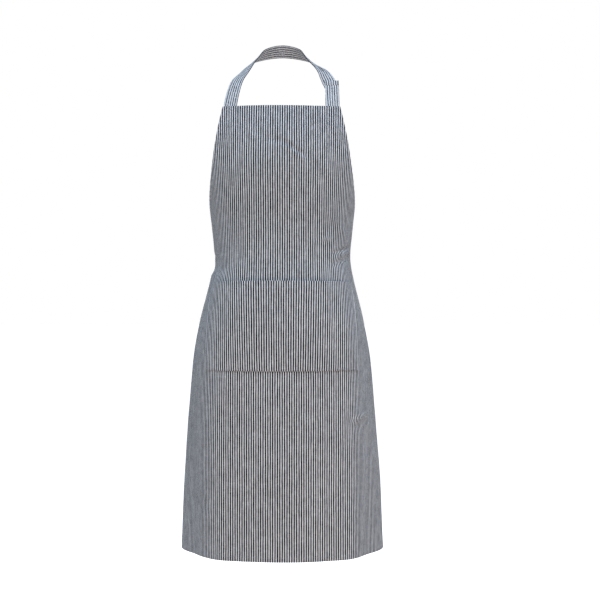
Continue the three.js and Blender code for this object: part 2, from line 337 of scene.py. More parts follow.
def clothPiece(name, columns, rows, place, material, closed=False):
    # A grid of cloth, each point put where place(column, row) says, with its flat place as UV.
    bm = bmesh.new()
    bmesh.ops.create_grid(bm, x_segments=columns, y_segments=rows, size=1, calc_uvs=True)
    flat = bm.loops.layers.uv.verify()
    spots = {}
    for vert in bm.verts:
        column = round((vert.co.x + 1) / 2 * columns)
        row = round((1 - vert.co.y) / 2 * rows)
        vert.co, spots[vert] = place(column, row)
    for face in bm.faces:
        for loop in face.loops:
            loop[flat].uv = spots[loop.vert]
    if closed:
        bmesh.ops.remove_doubles(bm, verts=bm.verts, dist=1e-6)
        bmesh.ops.holes_fill(bm, edges=[edge for edge in bm.edges if edge.is_boundary], sides=0)
        bmesh.ops.recalc_face_normals(bm, faces=bm.faces)
    for face in bm.faces:
        face.smooth = True
    return addMesh(name, bm, material)


def thicken(piece):
    wall = piece.modifiers.new("thickness", "SOLIDIFY")
    wall.thickness = cloth["thickness"]
    wall.offset = 0
    wall.use_even_offset = True


panel = {
    "bibHalf": 0.119,
    "skirtHalf": 0.330,
    "armholeDepth": 0.290,
    "armholeFlare": 0.27,
    "armholeSweep": 5,
    "topHem": 0.043,
    "sideHem": 0.010,
    "footHem": 0.0105,
    "columns": 130,
    "bibRows": 100,
    "skirtRows": 118,
    "gather": 1.3,  # rows gather towards the side corners
}


def panelHalfWidth(drop):
    share = min(max(drop / panel["armholeDepth"], 0), 1)
    flare = panel["armholeFlare"] * panel["armholeDepth"]
    sweep = panel["skirtHalf"] - panel["bibHalf"] - flare
    return panel["bibHalf"] + flare * share + sweep * share ** panel["armholeSweep"]


def edgeSlant(drop):
    # how much longer a step across the cloth is than one square to its slanting side edge
    step = 0.001
    return math.hypot(1, (panelHalfWidth(drop + step) - panelHalfWidth(drop)) / step)


def panelRows():
    rows = panel["bibRows"] + panel["skirtRows"]
    lines = hemmedLines(rows, panel["topHem"], panel["footHem"], cloth["roll"])
    placed = []
    for line in lines:
        if line[1] is None:
            row = (line[0] + 1) / 2 * rows
            bibShare = 1 - (1 - min(row / panel["bibRows"], 1)) ** panel["gather"]
            skirtShare = max((row - panel["bibRows"]) / panel["skirtRows"], 0)
            drop = panel["armholeDepth"] * bibShare + (hemDrop - panel["armholeDepth"]) * skirtShare
            line = (drop / hemDrop * 2 - 1, None, 0.0, 0.0)
        placed.append(line)
    return placed


def bodyPanel(material):
    roll = cloth["roll"]
    columns = hemmedLines(panel["columns"], panel["sideHem"], panel["sideHem"], roll)
    rows = panelRows()

    def place(column, row):
        drop, footInset, flatDrop = lineAt(rows[row], hemDrop / 2, roll)
        drop += hemDrop / 2
        half = panelHalfWidth(drop)
        around, sideInset, flatAround = lineAt(columns[column], half, roll, edgeSlant(drop))
        pressed = cloth["corner"] if footInset and sideInset else 1
        offset = cloth["lift"] + drape(around, drop) - (footInset + sideInset) * pressed
        return onWearer(around, drop, offset), (flatAround, flatDrop + hemDrop / 2)

    piece = clothPiece("apronCloth", len(columns) - 1, len(rows) - 1, place, material)
    thicken(piece)
    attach(piece, "apron")
    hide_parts("body_panel")
    slices = 100
    bibArea = sum(2 * panelHalfWidth(panel["armholeDepth"] * (k + 0.5) / slices) for k in range(slices))
    bibArea *= panel["armholeDepth"] / slices


pocket = {
    "half": 0.163,
    "drop": 0.351,
    "height": 0.174,
    "topHem": 0.015,
    "allowance": 0.009,  # turned in along the sides and foot
    "seamInset": 0.0025,
    "gap": 0.0007,  # off the panel along the seam
    "fullness": 0.0125,  # how far the middle of the mouth stands open
    "mouthCurve": 0.7,
    "shift": 0.0019,  # its stripes aren't matched to the panel's
    "columns": 66,
    "rows": 38,
}


def pocketFace(around, drop):
    # how far the pocket's outer layer stands out from the wearer's plain shape
    across = min(abs(around) / pocket["half"], 1)
    up = min(max(1 - (drop - pocket["drop"]) / pocket["height"], 0), 1)
    bulge = pocket["fullness"] * (1 - across ** 2) * up ** pocket["mouthCurve"]
    layers = cloth["thickness"] + 2 * cloth["roll"] + pocket["gap"]
    return cloth["lift"] + drape(around, drop) + layers + bulge


def patchPocket(material):
    roll = cloth["roll"]
    columns = hemmedLines(pocket["columns"], pocket["allowance"], pocket["allowance"], roll)
    rows = hemmedLines(pocket["rows"], pocket["topHem"], pocket["allowance"], roll)
    middle = pocket["drop"] + pocket["height"] / 2

    def place(column, row):
        around, sideInset, flatAround = lineAt(columns[column], pocket["half"], roll)
        drop, endInset, flatDrop = lineAt(rows[row], pocket["height"] / 2, roll)
        drop += middle
        pressed = cloth["corner"] if endInset and sideInset else 1
        offset = pocketFace(around, drop) - (endInset + sideInset) * pressed
        return onWearer(around, drop, offset), (flatAround + pocket["shift"], flatDrop + middle)

    piece = clothPiece("pocketCloth", len(columns) - 1, len(rows) - 1, place, material)
    thicken(piece)
    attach(piece, "apron")
    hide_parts("pocket")


# straps: a strip folded to four layers and topstitched along both edges
strap = {
    "width": 0.028,
    "thickness": 0.0019,
    "faceSteps": 14,
    "edgeInset": 0.0026,  # from the edge to the row of stitches
    "dip": 0.00028,  # how deep the stitches pull in
    "dipWidth": 0.0008,
    "slit": 0.0022,  # how deep the meeting folds open along one edge
    "rowStep": 0.0035,
    "pleat": 0.0024,  # height of the folds where a strap is pulled into the knot
    "tailPleat": 0.0007,
    "pinch": 0.40,  # how much narrower it is there
    "pinchReach": 0.030,
    "tabCuff": 0.012,  # the tab's end is turned over to the front
    "tailCuff": 0.010,
    "cuffThickness": 0.0017,
    "cuffRise": 0.0008,
    "cuffRows": (-0.0005, 0, 0.0002, 0.0008),  # rows of points at the step, from where it starts
    "endThickness": 0.12,  # what is left of the thickness at a rounded end
    "turnedShift": 0.0017,  # the stripes don't meet where an end is turned over
}


def splinePoint(points, t):
    # a smooth curve through the points, t from 0 to 1 (centripetal Catmull-Rom)
    spans = len(points) - 1
    i = min(int(t * spans), spans - 1)
    before = points[i - 1] if i else 2 * points[0] - points[1]
    after = points[i + 2] if i + 2 <= spans else 2 * points[-1] - points[-2]
    near, far = points[i], points[i + 1]
    first, middle, last = [
        max((b - a).length, 1e-6) ** 0.5 for a, b in ((before, near), (near, far), (far, after))
    ]
    leave = ((near - before) / first - (far - before) / (first + middle) + (far - near) / middle) * middle
    arrive = ((far - near) / middle - (after - near) / (middle + last) + (after - far) / last) * middle
    u = t * spans - i
    rise = (2 * u - 3) * u * u + 1
    return near * rise + far * (1 - rise) + leave * (u * (1 - u) ** 2) + arrive * (u * u * (u - 1))


def strapRoute(stops):
    # stops are pairs: the middle of the strap, and the way its outer face looks
    places = [Vector(place) for place, facing in stops]
    facings = [Vector(facing) for place, facing in stops]
    steps = 40 * (len(stops) - 1)
    spots = [(splinePoint(places, k / steps), splinePoint(facings, k / steps)) for k in range(steps + 1)]
    lengths = [0.0]
    for start, end in zip(spots, spots[1:]):
        lengths.append(lengths[-1] + (end[0] - start[0]).length)
    route = {"spots": spots, "lengths": lengths, "length": lengths[-1]}
    route.update(pinchedStart=False, pinchedEnd=False, pleat=strap["pleat"], cuff=0.0)
    return route


def strapFrame(route, distance):
    # the strap's middle, forward, outward and sideways directions at a distance along it
    spots = route["spots"]
    i, share = spanAt(route["lengths"], distance)
    forward = (spots[i][0] - spots[i - 1][0]).normalized()
    outward = spots[i - 1][1].lerp(spots[i][1], share)
    outward = (outward - forward * outward.dot(forward)).normalized()
    return spots[i - 1][0].lerp(spots[i][0], share), forward, outward, forward.cross(outward)


def pinchAt(route, distance):
    found = 0.0
    if route["pinchedStart"]:
        found = 1 - easeIn(distance / strap["pinchReach"])
    if route["pinchedEnd"]:
        found = max(found, 1 - easeIn((route["length"] - distance) / strap["pinchReach"]))
    return found


def onStrap(route, distance, across, height):
    # a point of the strap: across it from its middle, and height above the middle of its layers
    at, forward, outward, sideways = strapFrame(route, distance)
    pinch = pinchAt(route, distance)
    pleat = route["pleat"] * pinch * math.cos(3 * math.pi * across / strap["width"])
    return at + sideways * across * (1 - strap["pinch"] * pinch) + outward * (height + pleat)


def strapSection():
    # the strap's closed outline, as (across, height) points: outer face, open edge, inner face, fold
    radius = strap["thickness"] / 2
    flatHalf = strap["width"] / 2 - radius
    rowPlace = strap["width"] / 2 - strap["edgeInset"]
    face = []
    for k in range(strap["faceSteps"] + 1):
        across = flatHalf * (2 * k / strap["faceSteps"] - 1)
        dip = strap["dip"] * math.exp(-(((abs(across) - rowPlace) / strap["dipWidth"]) ** 2))
        face.append((across, radius - dip))
    openEdge = []
    for degrees in (60, 30, 12, 0, -12, -30, -60):
        angle = math.radians(degrees)
        reach = radius * math.cos(angle) - (0 if degrees else strap["slit"])
        openEdge.append((flatHalf + reach, radius * math.sin(angle)))
    folded = [
        (-flatHalf - radius * math.cos(math.radians(a)), radius * math.sin(math.radians(a)))
        for a in (-60, -30, 0, 30, 60)
    ]
    inner = [(across, -height) for across, height in reversed(face)]
    return face + openEdge + inner + folded + face[:1]


def strapRows(route):
    # distances at which the strap's outline is placed, closer together at rounded ends and steps
    radius = strap["thickness"] / 2
    steps = max(round(route["length"] / strap["rowStep"]), 4)
    rows = {route["length"] * k / steps for k in range(1, steps)}
    for inset in (0, 0.1, 0.4, 1.0):
        rows |= {inset * radius, route["length"] - inset * radius}
    if route["cuff"]:
        rows |= {route["length"] - route["cuff"] + past for past in strap["cuffRows"]}
    return sorted(rows)


def turnedOver(route, distance):
    # extra thickness on the outer face where the strap's end is turned over and sewn
    if not route["cuff"]:
        return 0.0
    rise = easeIn((distance - route["length"] + route["cuff"]) / strap["cuffRise"]) ** 0.5
    return strap["cuffThickness"] * rise


def unroll(section):
    # the flat place of each point of the outline, with a navy stripe on each edge of the strap
    places = [stripes["pitch"] / 2 + strap["thickness"] / 2]
    for start, end in zip(section, section[1:]):
        places.append(places[-1] + math.dist(start, end))
    return places


def strapPiece(name, route, material):
    section = strapSection()
    unrolled = unroll(section)
    rows = strapRows(route)
    radius = strap["thickness"] / 2

    def place(column, row):
        across, height = section[column]
        distance = rows[row]
        fromEnd = min(distance, route["length"] - distance, radius) / radius
        rounding = max(math.sqrt(1 - (1 - fromEnd) ** 2), strap["endThickness"])
        if height > 0:
            height += turnedOver(route, distance)
        turned = strap["turnedShift"] if distance > route["length"] - route["cuff"] else 0
        return onStrap(route, distance, across, height * rounding), (unrolled[column] + turned, distance)

    piece = clothPiece(name, len(section) - 1, len(rows) - 1, place, material, closed=True)
    return piece


bib = {
    "strapAround": 0.104,  # middle of a strap's sewn end
    "seamDepth": 0.038,
    "seamInset": 0.004,
    "seamHalf": 0.012,
    "behind": 0.00235,  # sewn end's middle behind the wearer's side of the cloth
    "tabRise": 0.058,
    "tabLean": 0.034,
    "tabAside": 0.001,
    "layer": 0.0029,  # from the tab to the strap's end behind it
    "spread": 1.12,  # they lie further apart at the tab's end
    "veer": 0.0055,  # how far the strap leads off to one side at the tab's end
}


def behindCloth(around, drop, depth):
    return onWearer(around, drop, drape(around, drop) - depth), skinNormal(around, drop)


def tabStops(layer):
    around, depth = bib["strapAround"], bib["behind"] + layer
    facing = Vector((0, -bib["tabRise"], bib["tabLean"])).normalized()
    top = behindCloth(around, 0, bib["behind"])[0]
    half = top + Vector((-bib["tabAside"] / 2, bib["tabLean"] / 2, bib["tabRise"] / 2)) - facing * layer
    end = top + Vector((-bib["tabAside"], bib["tabLean"], bib["tabRise"])) - facing * layer * bib["spread"]
    return [
        behindCloth(around, bib["seamDepth"], depth),
        behindCloth(around, bib["seamDepth"] / 2, depth),
        behindCloth(around, 0, depth),
        (half, facing),
        (end, facing),
    ]


tabRoute = strapRoute(tabStops(0))
tabRoute["cuff"] = strap["tabCuff"]


def neckStops():
    # up from the bib's left corner, over the shoulder, round the nape, and down behind the tab
    around = -bib["strapAround"]
    (end, facing), (half, lowFacing), *low = tabStops(bib["layer"])[::-1][:4]
    return [
        behindCloth(around, bib["seamDepth"], bib["behind"]),
        behindCloth(around, bib["seamDepth"] / 2, bib["behind"]),
        behindCloth(around, 0, bib["behind"]),
        ((-0.091, -0.112, -0.086), (-0.35, -0.75, 0.5)),
        ((-0.077, -0.089, -0.062), (-0.45, -0.45, 0.75)),
        ((-0.062, -0.060, -0.037), (-0.5, -0.05, 0.85)),
        ((-0.039, -0.018, -0.011), (-0.35, 0.6, 0.7)),
        ((0, 0.001, 0), (0, 0.85, 0.5)),
        ((0.040, -0.018, -0.011), (0.35, 0.6, 0.7)),
        ((0.064, -0.060, -0.037), (0.5, -0.20, 0.84)),
        ((0.0835, -0.088, -0.059), (0.32, -0.55, 0.72)),
        (end - Vector((bib["veer"], 0, 0)), facing),
        (end.lerp(half, 0.5), facing),
        (half, lowFacing),
        *low,
    ]


neckRoute = strapRoute(neckStops())

bow = {
    "knot": (0.0, 0.0528, -0.445),
    "halfWidth": 0.0115,
    "halfDepth": 0.0098,
    "halfHeight": 0.0158,
    "knotSteps": 44,
    "knotPleat": 0.0009,
    "knotPleats": 2.5,
    "knotSkew": 0.8,
    "knotCrown": 0.22,  # how much lower the knot's edges lie than its middle
    "knotTaper": 0.12,
    "knotLean": 0.0022,
    "tieDrop": 0.305,
    "tieSeam": 0.025,
    "tieBehind": 0.0026,
    "tieBeyond": 0.003,  # how far past the cloth's edge a tie still lies along it
    "tailStart": -0.0173,  # from the knot's middle
    "tailLength": 0.300,
    "tailDifference": 0.014,  # one tail hangs shorter
    "tailLayer": 0.0023,  # from the knot's middle to a tail's, so that they swing past each other
}


def besideKnot(side, x, y, z, facing):
    knot = bow["knot"]
    return (knot[0] + side * x, knot[1] + y, knot[2] + z), (side * facing[0], facing[1], facing[2])


def waistTieRoute(side):
    edge, drop, depth = panel["skirtHalf"], bow["tieDrop"], bow["tieBehind"]
    route = strapRoute([
        behindCloth(side * (edge - bow["tieSeam"]), drop, depth),
        behindCloth(side * (edge - bow["tieSeam"] / 2), drop, depth),
        behindCloth(side * (edge + bow["tieBeyond"]), drop, depth),
        besideKnot(side, 0.0293, -0.009, 0.002, (0.1, 1, 0)),
        besideKnot(side, 0.009, -0.0042, 0.003, (0.1, 1, 0)),
    ])
    route["pinchedEnd"] = True
    return route


def bowLoopRoute(side):
    route = strapRoute([
        besideKnot(side, 0.009, 0.003, 0.004, (0, -1, 0)),
        besideKnot(side, 0.044, 0.004, 0.003, (0, -1, 0)),
        besideKnot(side, 0.074, 0.006, -0.004, (0.3, -1, 0)),
        besideKnot(side, 0.092, 0.013, -0.013, (1, 0, 0)),
        besideKnot(side, 0.076, 0.020, -0.014, (0.2, 1, 0)),
        besideKnot(side, 0.046, 0.017, -0.006, (-0.1, 1, 0)),
        besideKnot(side, 0.008, 0.0065, 0.001, (-0.1, 1, 0)),
    ])
    route["pinchedStart"] = route["pinchedEnd"] = True
    return route


def tieTailRoute(side):
    layer = side * bow["tailLayer"]
    start = bow["tailStart"]
    length = bow["tailLength"] - (bow["tailDifference"] if side > 0 else 0)
    route = strapRoute([
        besideKnot(side, 0.005, layer, start + 0.004, (0, 1, 0)),
        besideKnot(side, 0.007, layer, start - length * 0.2, (0.10, 1, 0)),
        besideKnot(side, 0.011, layer + 0.001, start - length * 0.5, (-0.08, 1, 0)),
        besideKnot(side, 0.016, layer, start - length, (0.14, 1, 0)),
    ])
    route["pinchedStart"] = True
    route["pleat"] = strap["tailPleat"]
    route["cuff"] = strap["tailCuff"]
    return route


def bowKnot(material):
    # the strap wound once round the loops: a band on a ring about the X axis, its edges drawn in
    section = strapSection()
    unrolled = unroll(section)

    def place(column, row):
        across, height = section[column]
        angle = 2 * math.pi * row / bow["knotSteps"]
        share = across / strap["width"] * 2
        wave = bow["knotPleats"] * math.pi * share + bow["knotSkew"] * math.sin(angle)
        pleat = bow["knotPleat"] * math.cos(wave)
        swell = 1 - bow["knotCrown"] * share ** 2
        depth = bow["halfDepth"] * swell + height + pleat
        tall = bow["halfHeight"] * swell + height + pleat
        narrowing = 1 - bow["knotTaper"] * math.cos(angle)
        x = share * bow["halfWidth"] * narrowing + bow["knotLean"] * math.sin(angle)
        y = depth * math.sin(angle)
        z = tall * math.cos(angle)
        around = angle * (bow["halfDepth"] + bow["halfHeight"]) / 2
        return Vector(bow["knot"]) + Vector((x, y, z)), (unrolled[column], around)

    piece = clothPiece("bowKnot", len(section) - 1, bow["knotSteps"], place, material, closed=True)
    return piece


def straps(material):
    tab = strapPiece("neckTab", tabRoute, material)
    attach(tab, "apron")
    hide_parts("neck_tab")
    neck = strapPiece("neckStrap", neckRoute, material)
    cutButtonholes(neck)
    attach(neck, "apron")
    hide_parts("neck_strap")
    knot = bowKnot(material)
    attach(knot, "apron")
    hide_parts("bow_knot")
    sewn = [("neckTab", tabRoute, "apron"), ("neckStrap", neckRoute, "apron")]
    for side, hand in ((-1, "left"), (1, "right")):
        for title, node, route, body in (
            ("waistTie", "waist_tie_", waistTieRoute(side), "apron"),
            ("bowLoop", "bow_loop_", bowLoopRoute(side), "apron"),
            ("tieTail", "tie_tail_", tieTailRoute(side), hand + "_tail"),
        ):
            piece = strapPiece(title + hand.capitalize(), route, material)
            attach(piece, body)
            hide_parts(node + hand)
            sewn.append((piece.name, route, body))
    return sewn


button = {
    "inset": 0.017,  # from the tab's end
    "radius": 0.009,
    "thickness": 0.0026,
    "shank": 0.0038,  # from the tab's inner face to the button
    "holeRadius": 0.0009,
    "holeOffset": 0.0024,
    "wraps": 5,
    "wrapRadius": 0.00042,
    "shankRadius": 0.0007,
    "wrapStep": 1.75,  # from one wrap to the next, and the first wrap's drop, as shares of the radius
    "wrapStart": 1.7,
    "wrapTilt": 0.10,
    "crossHeight": 0.74,  # of the dished face's thickness
    "crossLift": 0.0002,  # one bar of the cross lies over the other
    "strandGap": 0.00035,
    "strandRadius": 0.00022,
    "strandReach": 1.55,
    "edge": 0.00012,
}

buttonhole = {
    "length": 0.0185,
    "width": 0.0011,
    "spacing": 0.058,
    "count": 3,
    "cutDepth": 0.012,
    "barStep": 0.00062,
    "barOffset": 0.0016,
    "endBarOffset": 0.0006,
    "endBarStep": 0.0011,
}


def laidOn(lie):
    # the turn that lays X forward, Y sideways and Z outward, from what strapFrame gives
    at, forward, outward, sideways = lie
    return Matrix.Translation(at) @ Matrix((forward, -sideways, outward)).transposed().to_4x4()


onTab = strapFrame(tabRoute, tabRoute["length"] - button["inset"])


def buttonholePlaces():
    steps = 800
    half = neckRoute["length"] / 2
    distances = [half + half * k / steps for k in range(steps)]
    used = min(distances, key=lambda distance: (strapFrame(neckRoute, distance)[0] - onTab[0]).length)
    return [used - k * buttonhole["spacing"] for k in range(buttonhole["count"])]


def takeModifiers(piece):
    made = bpy.data.meshes.new_from_object(piece.evaluated_get(bpy.context.evaluated_depsgraph_get()))
    piece.modifiers.clear()
    piece.data = made


def cutAway(piece, cutter):
    cut = piece.modifiers.new("cut", "BOOLEAN")
    cut.operation = "DIFFERENCE"
    cut.solver = "EXACT"
    cut.object = cutter
    takeModifiers(piece)
    bpy.data.objects.remove(cutter)


def cutButtonholes(neck):
    bm = bmesh.new()
    for distance in buttonholePlaces():
        size = Matrix.Diagonal((buttonhole["length"], buttonhole["width"], buttonhole["cutDepth"], 1))
        bmesh.ops.create_cube(bm, size=1, matrix=laidOn(strapFrame(neckRoute, distance)) @ size)
    cutAway(neck, addMesh("slots", bm))


def sewButtonholes(material):
    # close bars of thread across both lips of each slot, and three at each end
    places = []
    half = buttonhole["length"] / 2
    height = strap["thickness"] / 2
    for middle in buttonholePlaces():
        for face in (-1, 1):
            count = round(2 * half / buttonhole["barStep"])
            for k in range(count + 1):
                distance = middle - half + 2 * half * k / count
                lie = strapFrame(neckRoute, distance)
                for lip in (-1, 1):
                    spot = onStrap(neckRoute, distance, lip * buttonhole["barOffset"], height * face)
                    places.append((spot, lie[3], lie[2] * face))
            for end in (-1, 1):
                for k in (-1, 0, 1):
                    distance = middle + end * (half + buttonhole["endBarOffset"])
                    lie = strapFrame(neckRoute, distance)
                    spot = onStrap(neckRoute, distance, k * buttonhole["endBarStep"], height * face)
                    places.append((spot, lie[1], lie[2] * face))
    threadPiece("buttonholeStitching", places, "apron", material)


def resinButton(material):
    # a turned disc with a rounded rim and a dished face, drilled with four holes
    radius, thick = button["radius"], button["thickness"]
    profile = [
        (0, 0), (0.60, 0), (0.86, 0.10), (0.97, 0.32), (1.0, 0.55), (0.97, 0.80), (0.90, 0.96),
        (0.80, 1.0), (0.72, 0.94), (0.64, 0.78), (0.50, 0.70), (0, 0.68),
    ]
    bm = bmesh.new()
    verts = [bm.verts.new((x * radius, 0, z * thick)) for x, z in profile]
    edges = [bm.edges.new(pair) for pair in zip(verts, verts[1:])]
    bmesh.ops.spin(bm, geom=verts + edges, axis=(0, 0, 1), cent=(0, 0, 0), angle=2 * math.pi,
                   steps=48, use_merge=True)
    bmesh.ops.remove_doubles(bm, verts=bm.verts, dist=1e-6)
    bmesh.ops.recalc_face_normals(bm, faces=bm.faces)
    seat = laidOn(onTab) @ Matrix.Translation((0, 0, -strap["thickness"] / 2 - button["shank"]))
    seat = seat @ Matrix.Rotation(math.pi, 4, "X")
    bmesh.ops.transform(bm, matrix=seat, verts=bm.verts)
    piece = addMesh("neckButton", bm, material)
    drill = bmesh.new()
    for quarter in range(4):
        turn = Matrix.Rotation(math.pi / 4 + quarter * math.pi / 2, 4, "Z")
        place = seat @ turn @ Matrix.Translation((button["holeOffset"], 0, thick / 2))
        bmesh.ops.create_cone(drill, cap_ends=True, segments=16, radius1=button["holeRadius"],
                              radius2=button["holeRadius"], depth=4 * thick, matrix=place)
    cutAway(piece, addMesh("drill", drill))
    for polygon in piece.data.polygons:
        polygon.use_smooth = True
    edge = piece.modifiers.new("edge", "BEVEL")
    edge.width = button["edge"]
    edge.segments = 2
    edge.limit_method = "ANGLE"
    edge.angle_limit = math.radians(40)
    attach(piece, "button")
    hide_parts("neck_button")
    return seat


def buttonThread(seat, material):
    # thread crossed through the four holes, and wound round in a shank under the button
    offset = button["holeOffset"] * math.sqrt(0.5)
    high = button["thickness"] * button["crossHeight"]
    thin = button["strandRadius"]
    bm = bmesh.new()
    for turn in (1, -1):
        for strand in (-button["strandGap"], 0, button["strandGap"]):
            forward = Vector((1, turn, 0)).normalized()
            beside = Vector((-forward.y, forward.x, 0)) * strand
            size = Matrix.Diagonal((thin, thin, offset * button["strandReach"], 1))
            turned = forward.to_track_quat("Z", "Y").to_matrix().to_4x4()
            lift = Vector((0, 0, high + (button["crossLift"] if turn > 0 else 0)))
            bmesh.ops.create_uvsphere(bm, u_segments=8, v_segments=8, radius=1,
                                      matrix=seat @ Matrix.Translation(beside + lift) @ turned @ size)
    cross = addMesh("buttonCross", bm, material)
    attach(cross, "button")
    bm = bmesh.new()
    for wrap in range(button["wraps"]):
        ring = bmesh.ops.create_circle(bm, segments=8, radius=button["wrapRadius"])["verts"]
        bmesh.ops.rotate(bm, verts=ring, cent=(0, 0, 0), matrix=Matrix.Rotation(math.pi / 2, 3, "X"))
        bmesh.ops.translate(bm, verts=ring, vec=(button["shankRadius"], 0, 0))
        edges = [edge for edge in bm.edges if edge.verts[0] in ring and edge.verts[1] in ring]
        bmesh.ops.spin(bm, geom=ring + edges, axis=(0, 0, 1), cent=(0, 0, 0),
                       angle=2 * math.pi, steps=16, use_merge=True)
        fresh = [vert for vert in bm.verts if not vert.tag]
        low = -button["wrapRadius"] * (button["wrapStart"] + button["wrapStep"] * wrap)
        tilt = Matrix.Rotation(button["wrapTilt"] * (-1) ** wrap, 4, "Y")
        bmesh.ops.transform(bm, matrix=Matrix.Translation((0, 0, low)) @ tilt, verts=fresh)
        for vert in bm.verts:
            vert.tag = True
    bmesh.ops.recalc_face_normals(bm, faces=bm.faces)
    bmesh.ops.transform(bm, matrix=seat, verts=bm.verts)
    for face in bm.faces:
        face.smooth = True
    shank = addMesh("buttonShank", bm, material)
    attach(shank, "apron")
    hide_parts("button_thread")


stitch = {
    "pitch": 0.0030,
    "length": 0.0024,
    "width": 0.00050,
    "height": 0.00034,
    "sides": 6,
    "rings": 4,
    "batch": 25,  # each stitch costs more in a large mesh, so they are made a few at a time
    "fromFold": 0.002,  # from a hem's folded edge to its row
    "cuffInset": 0.0016,
    "endMargin": 0.001,
    "cornerMargin": 0.003,
    "sunk": 0.6,  # share of the dip that a strap's stitches lie in
}


def addStitch(bm, centre, forward, facing):
    facing = (facing - forward * facing.dot(forward)).normalized()
    turn = Matrix((facing.cross(forward), facing, forward)).transposed().to_4x4()
    size = Matrix.Diagonal((stitch["width"] / 2, stitch["height"] / 2, stitch["length"] / 2, 1))
    bmesh.ops.create_uvsphere(
        bm, u_segments=stitch["sides"], v_segments=stitch["rings"], radius=1,
        matrix=Matrix.Translation(centre) @ turn @ size,
    )


def threadPiece(name, places, body, material):
    # places are (centre, the way the stitch runs, the way the cloth faces there)
    few = bpy.data.meshes.new("few")
    sewn = bmesh.new()
    batch = bmesh.new()
    for k, (centre, forward, facing) in enumerate(places):
        addStitch(batch, centre, forward, facing)
        if (k + 1) % stitch["batch"] == 0 or k == len(places) - 1:
            batch.to_mesh(few)
            sewn.from_mesh(few)
            batch.clear()
    batch.free()
    bpy.data.meshes.remove(few)
    for face in sewn.faces:
        face.smooth = True
    piece = addMesh(name, sewn, material)
    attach(piece, body)


def stitchPlaces(path):
    # stitches spaced along a path of (point, the way the cloth faces there)
    lengths = [0.0]
    for start, end in zip(path, path[1:]):
        lengths.append(lengths[-1] + (end[0] - start[0]).length)
    count = int(lengths[-1] / stitch["pitch"])
    places = []
    for k in range(count):
        distance = (k + 0.5) * lengths[-1] / count
        i, share = spanAt(lengths, distance)
        centre = path[i - 1][0].lerp(path[i][0], share)
        forward = (path[i][0] - path[i - 1][0]).normalized()
        places.append((centre, forward, path[i - 1][1].lerp(path[i][1], share)))
    return places


def sew(name, paths, body, material):
    threadPiece(name, [place for path in paths for place in stitchPlaces(path)], body, material)


def clothPath(places, face, depth):
    # a row on both sides of the cloth, through (around, drop) places; face gives the outer layer
    front, back = [], []
    for around, drop in places:
        normal = skinNormal(around, drop)
        outer = face(around, drop) + cloth["thickness"] / 2
        front.append((onWearer(around, drop, outer), normal))
        back.append((onWearer(around, drop, outer - depth - cloth["thickness"]), -normal))
    return [front, back]


def panelFace(around, drop):
    return cloth["lift"] + drape(around, drop)


def sideRow(side, inset, steps=300):
    places = []
    for k in range(steps + 1):
        drop = stitch["cornerMargin"] + (hemDrop - 2 * stitch["cornerMargin"]) * k / steps
        places.append((side * (panelHalfWidth(drop) - inset * edgeSlant(drop)), drop))
    return places


def acrossRow(half, drop, steps=120):
    return [(half * (2 * k / steps - 1), drop) for k in range(steps + 1)]


def sewPanel(material):
    depth = 2 * cloth["roll"]
    margin, fromFold = stitch["endMargin"], stitch["fromFold"]
    topHalf = panelHalfWidth(panel["topHem"]) - margin
    footRow = hemDrop - panel["footHem"] + fromFold
    rows = clothPath(acrossRow(topHalf, panel["topHem"] - fromFold), panelFace, depth)
    rows += clothPath(acrossRow(panel["skirtHalf"] - margin, footRow), panelFace, depth)
    for side in (-1, 1):
        rows += clothPath(sideRow(side, panel["sideHem"] - fromFold), panelFace, depth)
        middle = side * bib["strapAround"]
        for drop in (bib["seamInset"], bib["seamDepth"] - bib["seamInset"]):
            places = [(middle + around, drop) for around, drop in acrossRow(bib["seamHalf"], drop, 12)]
            rows += clothPath(places, panelFace, depth + strap["thickness"] + cloth["thickness"])
    sew("panelStitching", rows, "apron", material)


def sewPocket(material):
    depth = 2 * cloth["roll"]
    half = pocket["half"] - pocket["seamInset"]
    top = pocket["drop"] + stitch["endMargin"]
    foot = pocket["drop"] + pocket["height"] - pocket["seamInset"]
    hemRow = pocket["drop"] + pocket["topHem"] - stitch["fromFold"]
    rows = clothPath(acrossRow(pocket["half"] - stitch["endMargin"], hemRow, 80), pocketFace, depth)
    steps = 40
    seam = [(-half, top + (foot - top) * k / steps) for k in range(steps)]
    seam += acrossRow(half, foot, 2 * steps)
    seam += [(-around, drop) for around, drop in reversed(seam[:steps])]
    rows += clothPath(seam, pocketFace, depth + pocket["gap"] + cloth["thickness"])
    sew("pocketStitching", rows, "apron", material)


def sewStrap(name, route, body, material):
    edge = strap["width"] / 2 - strap["edgeInset"]
    height = strap["thickness"] / 2 - strap["dip"] * stitch["sunk"]
    margin = stitch["endMargin"]
    steps = max(int(route["length"] / stitch["pitch"]), 8)

    def spot(side, distance, across):
        # a place on the strap's outer or inner face, and the way that it faces there
        raised = height + (turnedOver(route, distance) if side > 0 else 0)
        return onStrap(route, distance, across, raised * side), strapFrame(route, distance)[2] * side

    rows = []
    for side in (-1, 1):
        for across in (-edge, edge):
            rows.append([
                spot(side, margin + (route["length"] - 2 * margin) * k / steps, across)
                for k in range(steps + 1)
            ])
        if route["cuff"]:
            distance = route["length"] - route["cuff"] + stitch["cuffInset"]
            rows.append([spot(side, distance, edge * (k / 4 - 1)) for k in range(9)])
    sew(name + "Stitching", rows, body, material)


